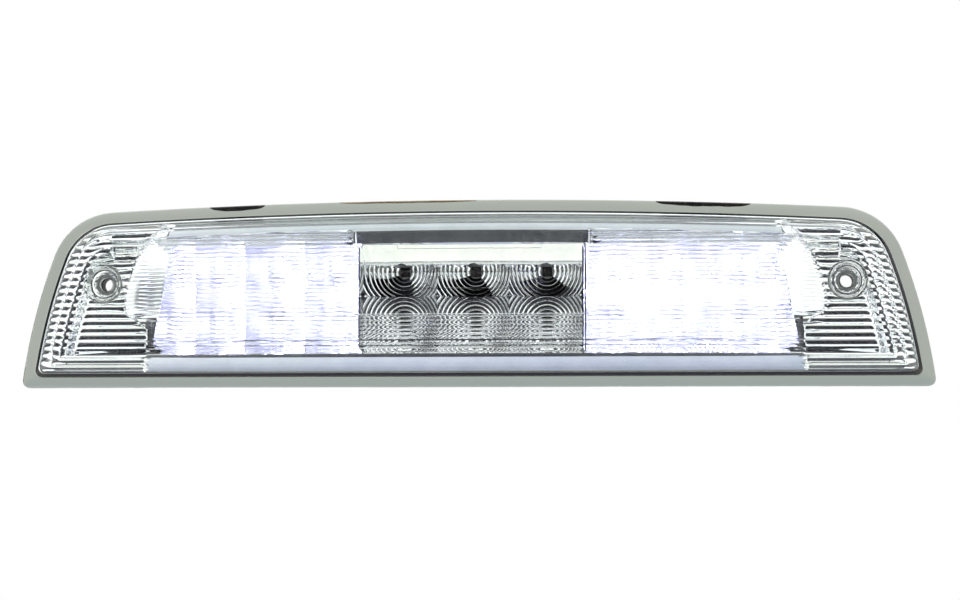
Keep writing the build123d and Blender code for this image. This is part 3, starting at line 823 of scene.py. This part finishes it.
# ---- Lamps ----
def lathe(profile, centre, steps=32):
    """A closed solid turned about an axis along Y: profile is (radius, depth) from one pole to the other."""
    points = [Vector((centre.x, profile[0][1], centre.z))]
    for radius, y in profile[1:-1]:
        for p in arc(Vector((centre.x, centre.z)), radius, 0, math.tau, steps):
            points.append(Vector((p.x, y, p.y)))
    points.append(Vector((centre.x, profile[-1][1], centre.z)))
    loops = [[1 + steps * k + i for i in range(steps)] for k in range(len(profile) - 2)]
    faces = [(0, loops[0][(i + 1) % steps], loops[0][i]) for i in range(steps)]
    for first, second in zip(loops, loops[1:]):
        faces += bridge(first, second)
    last = len(points) - 1
    faces += [(last, loops[-1][i], loops[-1][(i + 1) % steps]) for i in range(steps)]
    return points, faces


def pad_block(centre, half, front, back, edge):
    """A closed box along Y whose front edges are bevelled."""
    rings = ((half, back), (half, front + edge), (half - edge, front))
    points = []
    for reach, y in rings:
        for i, j in SQUARE:
            points.append(Vector((centre.x + i * reach, y, centre.z + j * reach)))
    faces = [(3, 2, 1, 0), (8, 9, 10, 11)]
    for k in (0, 4):
        faces += [(k + i, k + (i + 1) % 4, k + 4 + (i + 1) % 4, k + 4 + i) for i in range(4)]
    return points, faces


def rim_profile(dome, top):
    """The rim round the foot of a dome of a given radius."""
    rim = [(dome + out, top + down) for out, down in LAMP_RIM]
    return [(0, rim[0][1]), *rim, (0, rim[-1][1])]


def dome_profile(dome, top, front):
    """A dome of a given radius from its flat back to its front."""
    back = top - DOME_GAP
    radius, height = dome * DOME_SHARE, dome - DOME_GAP
    curve = [(radius * math.cos(a), back - height * math.sin(a)) for a in spread(0, DOME_END, DOME_STEP)]
    return [(0, back), *curve, (0, front)]


def lamp(node, name, parts):
    """A surface-mounted lamp in the place of its CAD node: ceramic base, rim ring, die and dome."""
    low, high = node_box(node)
    centre = Vector(((low.x + high.x) / 2, 0, (low.z + high.z) / 2))
    half, board_y = (high.x - low.x) / 2, high.y
    top = board_y - LAMP_BASE
    dome = top - low.y
    groups = (
        (pad_block(centre, half, top, board_y, BASE_BEVEL), parts["base"]),
        (lathe(rim_profile(dome, top), centre), parts["base"]),
        (pad_block(centre, DIE_HALF, top - DIE_HEIGHT, top, DIE_BEVEL), parts["die"]),
        (lathe(dome_profile(dome, top, low.y), centre), parts["dome"]),
    )
    points, faces, indices = [], [], []
    materials = [parts["base"], parts["die"], parts["dome"]]
    for (more_points, more_faces), material in groups:
        start = len(points)
        points += more_points
        faces += [tuple(n + start for n in face) for face in more_faces]
        indices += [materials.index(material)] * len(more_faces)
    piece = add_piece(name, points, faces, materials[0])
    for material in materials[1:]:
        piece.data.materials.append(material)
    for polygon, index in zip(piece.data.polygons, indices):
        polygon.material_index = index
    return piece


def outline_top(x):
    """The height of the lamp's upper edge."""
    return TOP_CENTRE.y + math.sqrt(TOP_RADIUS**2 - x**2)


def squeeze_out(name, start, end, tall, material):
    """A thin, slightly uneven bead of sealant that came out behind the top of the lens's lip."""
    stations = spread(start, end, SEAL_STATION)
    points = []
    for i, x in enumerate(stations):
        taper = math.sqrt(max(0.01, 1 - abs(2 * i / (len(stations) - 1) - 1) ** 3))
        uneven = sum(share * math.sin(rate * x + phase) for share, rate, phase in SEAL_WAVES)
        half = taper * tall * (1 + uneven) / 2
        middle = outline_top(x) - SEAL_INSET - half
        for k in range(SEAL_SIDES):
            turn = math.tau * k / SEAL_SIDES
            y = LIP_BACK + SEAL_OFF + SEAL_HALF_DEPTH * math.cos(turn) * taper
            points.append(Vector((x, y, middle + half * math.sin(turn))))
    faces = [tuple(range(SEAL_SIDES)), tuple(range(len(points) - 1, len(points) - 1 - SEAL_SIDES, -1))]
    loops = [list(range(n, n + SEAL_SIDES)) for n in range(0, len(points), SEAL_SIDES)]
    for first, second in zip(loops, loops[1:]):
        faces += bridge(first, second)
    return add_piece(name, points, faces, material)


# ---- Materials ----
def look(name, values):
    """A Principled material with plain values on its sockets."""
    material = bpy.data.materials.new(name)
    material.use_nodes = True
    shader = material.node_tree.nodes["Principled BSDF"]
    for socket, value in values.items():
        shader.inputs[socket].default_value = value
    return material


def noise(material, scale, detail=3.0):
    """A noise texture in the object's own space; scale is in features per metre."""
    tree = material.node_tree
    place = tree.nodes.new("ShaderNodeTexCoord")
    texture = tree.nodes.new("ShaderNodeTexNoise")
    texture.inputs["Scale"].default_value = scale
    texture.inputs["Detail"].default_value = detail
    tree.links.new(place.outputs["Object"], texture.inputs["Vector"])
    return texture.outputs["Fac"]


def vary(material, socket, source, low, high):
    """Drives a number socket between two values from a texture."""
    tree = material.node_tree
    scaled = tree.nodes.new("ShaderNodeMapRange")
    limits = {"From Min": 0.3, "From Max": 0.7, "To Min": low, "To Max": high}
    for name, value in limits.items():
        scaled.inputs[name].default_value = value
    tree.links.new(source, scaled.inputs["Value"])
    tree.links.new(scaled.outputs["Result"], tree.nodes["Principled BSDF"].inputs[socket])


def tint(material, source, first, second):
    """Blends the base colour between two colours from a texture."""
    tree = material.node_tree
    ramp = tree.nodes.new("ShaderNodeValToRGB")
    for element, position, colour in zip(ramp.color_ramp.elements, (0.35, 0.65), (first, second)):
        element.position, element.color = position, (*colour, 1)
    tree.links.new(source, ramp.inputs["Fac"])
    tree.links.new(ramp.outputs["Color"], tree.nodes["Principled BSDF"].inputs["Base Color"])


def grain(material, source, height, strength=1.0):
    """Raises the surface by a texture, height in metres."""
    tree = material.node_tree
    bump = tree.nodes.new("ShaderNodeBump")
    bump.inputs["Distance"].default_value = height
    bump.inputs["Strength"].default_value = strength
    tree.links.new(source, bump.inputs["Height"])
    tree.links.new(bump.outputs["Normal"], tree.nodes["Principled BSDF"].inputs["Normal"])


def clear_plastic():
    """Moulded clear polycarbonate with a faint grey-green body and a little flow waviness."""
    material = look("clear_lens", {"Transmission Weight": 1.0, "IOR": 1.49})
    tint(material, noise(material, 18), (0.90, 0.93, 0.91), (0.93, 0.95, 0.94))
    vary(material, "Roughness", noise(material, 60), 0.0, 0.02)
    grain(material, noise(material, 35, 2.0), 0.00005)
    return material


def chrome(name, low, high):
    """Vacuum-metallised plastic: bright metal with slight ripples and haze."""
    material = look(name, {"Metallic": 1.0, "Specular Tint": (1, 1, 1, 1)})
    tint(material, noise(material, 90), (0.86, 0.87, 0.89), (0.93, 0.93, 0.94))
    vary(material, "Roughness", noise(material, 140), low, high)
    grain(material, noise(material, 120, 2.0), 0.00002)
    return material


def moulded(name, dark, light, roughness, height, scale=900):
    """A moulded plastic or rubber with a fine texture."""
    material = look(name, {})
    tint(material, noise(material, 60), dark, light)
    vary(material, "Roughness", noise(material, 240), roughness - 0.08, roughness + 0.08)
    grain(material, noise(material, scale), height)
    return material


def metal(name, dark, light, roughness):
    """Bright screw or terminal metal."""
    material = look(name, {"Metallic": 1.0})
    tint(material, noise(material, 400), dark, light)
    vary(material, "Roughness", noise(material, 700), roughness - 0.06, roughness + 0.06)
    grain(material, noise(material, 1500), 0.00001)
    return material


def glowing(name, colour, strength, body):
    """A lit dome: even light, over a milky body."""
    material = look(name, {"Emission Color": (*colour, 1), "Emission Strength": strength, "Roughness": 0.2})
    tint(material, noise(material, 300), body, tuple(0.9 * c for c in body))
    return material


def unlit_dome():
    """A clear dome that isn't lit."""
    material = look("brake_dome", {"Transmission Weight": 1.0, "IOR": 1.5})
    tint(material, noise(material, 300), (0.80, 0.78, 0.74), (0.86, 0.84, 0.80))
    vary(material, "Roughness", noise(material, 500), 0.02, 0.06)
    return material


looks = {
    "casing": moulded("casing", (0.012, 0.012, 0.013), (0.020, 0.020, 0.022), 0.48, 0.00006),
    "sealant": moulded("sealant", (0.018, 0.015, 0.013), (0.05, 0.035, 0.025), 0.4, 0.0001, 500),
    "amber_sealant": moulded("amber_sealant", (0.32, 0.19, 0.08), (0.55, 0.38, 0.2), 0.4, 0.0001, 500),
    "foam": moulded("foam", (0.02, 0.02, 0.021), (0.045, 0.045, 0.046), 0.85, 0.0004, 1400),
    "rubber": moulded("rubber", (0.015, 0.015, 0.016), (0.028, 0.028, 0.03), 0.6, 0.00005),
    "board": moulded("board", (0.72, 0.73, 0.70), (0.80, 0.80, 0.78), 0.35, 0.00002),
    "resistor": moulded("resistor", (0.02, 0.02, 0.022), (0.04, 0.04, 0.045), 0.4, 0.00002),
    "chip": moulded("chip", (0.018, 0.018, 0.02), (0.03, 0.03, 0.032), 0.55, 0.00004, 2500),
    "connector": moulded("connector", (0.015, 0.015, 0.017), (0.024, 0.024, 0.027), 0.38, 0.00004),
    "membrane": moulded("membrane", (0.70, 0.70, 0.68), (0.82, 0.82, 0.80), 0.8, 0.00008, 2500),
    "feed_wire": moulded("feed_wire", (0.45, 0.02, 0.02), (0.56, 0.04, 0.03), 0.4, 0.00003),
    "ground_wire": moulded("ground_wire", (0.015, 0.015, 0.016), (0.03, 0.03, 0.032), 0.4, 0.00003),
    "can": metal("can", (0.62, 0.62, 0.64), (0.75, 0.75, 0.77), 0.28),
    "screw": metal("screw", (0.52, 0.52, 0.54), (0.66, 0.66, 0.68), 0.3),
    "tin": metal("tin", (0.70, 0.69, 0.66), (0.82, 0.81, 0.78), 0.25),
    "lens": clear_plastic(),
    "bezel": chrome("bezel_chrome", 0.02, 0.05),
    "brake_chrome": chrome("brake_chrome", 0.02, 0.05),
    "cargo_chrome": chrome("cargo_chrome", 0.16, 0.24),
    "ceramic": moulded("ceramic", (0.70, 0.69, 0.66), (0.80, 0.79, 0.76), 0.35, 0.00002),
    "phosphor": moulded("phosphor", (0.75, 0.62, 0.15), (0.85, 0.72, 0.22), 0.5, 0.00002),
    "red_die": moulded("red_die", (0.05, 0.02, 0.02), (0.09, 0.04, 0.04), 0.3, 0.00002),
    "silicone": moulded("silicone", (0.80, 0.82, 0.80), (0.88, 0.90, 0.88), 0.35, 0.00002),
    "cargo_dome": glowing("cargo_dome", CARGO_LIGHT, CARGO_STRENGTH, (0.85, 0.85, 0.8)),
    "brake_dome": unlit_dome(),
}

CARRIED = {
    "casing": ("housing",),
    "sealant": ("lens_seal",),
    "foam": ("mounting_gasket",),
    "rubber": ("connector_seal",),
    "silicone": ("tube_seal_left", "tube_seal_right"),
    "board": ("brake_board", "cargo_board_left", "cargo_board_right"),
    "screw": ("board_screws", "connector_screws"),
    "resistor": ("brake_resistors", "cargo_resistors_left", "cargo_resistors_right"),
    "chip": ("brake_driver", "cargo_driver_left", "cargo_driver_right", "surge_diode"),
    "can": ("input_capacitor",),
    "connector": ("connector_shell", "vent_cap"),
    "membrane": ("vent_membrane",),
    "feed_wire": ("jumper_feed_left", "jumper_feed_right"),
    "ground_wire": ("jumper_ground_left", "jumper_ground_right"),
    "tin": ("brake_terminal", "ground_terminal", "cargo_terminal"),
}

# ---- The lamp ----
for key, names in CARRIED.items():
    for node in names:
        mesh = frame["nodes"][node].data
        mesh.materials.clear()
        mesh.materials.append(looks[key])


def install(piece, slot, *nodes):
    """Fixes a piece to the lamp's one body and hides the CAD nodes it stands in for; slot is not used."""
    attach(piece, "root")
    if nodes:
        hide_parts(*nodes)


def columns_of(prefix, way=0):
    """The x places of one row of lamps, all of them or those of one side."""
    found = set()
    for node in frame["nodes"]:
        if node.startswith(prefix):
            low, high = node_box(node)
            found.add(round((low.x + high.x) / 2, 2))
    return sorted(x for x in found if way == 0 or x * way > 0)


install(lens(looks["lens"]), "clear_lens", "lens")
install(bezel(looks["bezel"]), "chrome_plating", "chrome_bezel")
columns = columns_of("brake_led_")
low, high = -brake_high.x, brake_high.x
tray = reflector("brake_bowls", low, high, columns, BRAKE_RINGS, looks["brake_chrome"], middle=True)
install(tray, "chrome_plating", "brake_reflector")
for side, way in (("left", -1), ("right", 1)):
    node = f"cargo_reflector_{side}"
    low, high = node_box(node)
    columns = columns_of("cargo_led_", way)
    tray = reflector(f"cargo_bowls_{side}", low.x, high.x, columns, CARGO_RINGS, looks["cargo_chrome"])
    install(tray, "chrome_plating", node)
for kind, base, die in (("cargo", "ceramic", "phosphor"), ("brake", "chip", "red_die")):
    parts = {"base": looks[base], "die": looks[die], "dome": looks[f"{kind}_dome"]}
    for node in sorted(frame["nodes"]):
        if node.startswith(f"{kind}_led_"):
            install(lamp(node, node.replace("led", "lamp"), parts), f"{kind}_led", node)
for name, start, end, tall, key in SEAL_BEADS:
    install(squeeze_out(name, start, end, tall, looks[key]), "sealant")

# ---- Studio ----
scene = bpy.context.scene
scene.view_settings.view_transform = "Standard"
scene.cycles.max_bounces = 32
scene.cycles.transmission_bounces = 24
scene.cycles.glossy_bounces = 16
scene.cycles.sample_clamp_indirect = 12


def direction_ramp(tree, place, axis, stops):
    """A colour that changes with how far a direction leans along an axis."""
    lean = tree.nodes.new("ShaderNodeVectorMath")
    lean.operation = "DOT_PRODUCT"
    lean.inputs[1].default_value = axis
    half = tree.nodes.new("ShaderNodeMapRange")
    half.inputs["From Min"].default_value = -1
    ramp = tree.nodes.new("ShaderNodeValToRGB")
    ramp.color_ramp.interpolation = "EASE"
    while len(ramp.color_ramp.elements) < len(stops):
        ramp.color_ramp.elements.new(0.5)
    for element, (position, shade) in zip(ramp.color_ramp.elements, stops):
        element.position, element.color = position, (*shade, 1)
    tree.links.new(place.outputs["Generated"], lean.inputs[0])
    tree.links.new(lean.outputs["Value"], half.inputs["Value"])
    tree.links.new(half.outputs["Result"], ramp.inputs["Fac"])
    return ramp.outputs["Color"]


def studio_world():
    """A light tent with a dim patch in front of the lamp, and plain white behind it for the camera."""
    world = bpy.data.worlds.new("studio")
    world.use_nodes = True
    tree = world.node_tree
    tree.nodes.clear()
    place = tree.nodes.new("ShaderNodeTexCoord")
    front = direction_ramp(tree, place, (0, -1, 0), TENT)
    above = direction_ramp(tree, place, (0, 0, 1), TENT_HEIGHTS)
    both = tree.nodes.new("ShaderNodeVectorMath")
    both.operation = "MULTIPLY"
    tree.links.new(front, both.inputs[0])
    tree.links.new(above, both.inputs[1])
    tent = tree.nodes.new("ShaderNodeBackground")
    white = tree.nodes.new("ShaderNodeBackground")
    white.inputs["Color"].default_value = (1, 1, 1, 1)
    path = tree.nodes.new("ShaderNodeLightPath")
    mix = tree.nodes.new("ShaderNodeMixShader")
    out = tree.nodes.new("ShaderNodeOutputWorld")
    tree.links.new(both.outputs["Vector"], tent.inputs["Color"])
    tree.links.new(path.outputs["Is Camera Ray"], mix.inputs["Fac"])
    tree.links.new(tent.outputs["Background"], mix.inputs[1])
    tree.links.new(white.outputs["Background"], mix.inputs[2])
    tree.links.new(mix.outputs["Shader"], out.inputs["Surface"])
    return world


def studio_floor():
    """A plain pale floor well below the lamp, which the chrome and the clear plastic don't show."""
    corners = [Vector((i * FLOOR_HALF, j * FLOOR_HALF, FLOOR_LEVEL)) for i, j in SQUARE]
    pale = look("floor", {"Base Color": (0.92, 0.92, 0.92, 1), "Roughness": 0.9})
    floor = add_piece("floor", corners, [(0, 1, 2, 3)], pale)
    floor.visible_glossy = False
    floor.visible_transmission = False


def place_camera():
    """The camera at the photograph's angle, rolled a little about its own axis."""
    data = bpy.data.cameras.new("camera")
    data.sensor_width, data.lens = SENSOR_WIDTH, CAMERA_LENS
    camera = bpy.data.objects.new("camera", data)
    bpy.context.collection.objects.link(camera)
    azimuth, elevation = math.radians(CAMERA_AZIMUTH), math.radians(CAMERA_ELEVATION)
    away = Vector((math.sin(azimuth) * math.cos(elevation), -math.cos(azimuth) * math.cos(elevation), 0))
    away.z = math.sin(elevation)
    camera.location = CAMERA_TARGET * MM + away * CAMERA_METRES
    roll = Quaternion((0, 0, 1), math.radians(CAMERA_ROLL))
    camera.rotation_euler = ((-away).to_track_quat("-Z", "Y") @ roll).to_euler()
    return camera


scene.world = studio_world()
studio_floor()
scene.camera = place_camera()

bpy.context.view_layer.update()
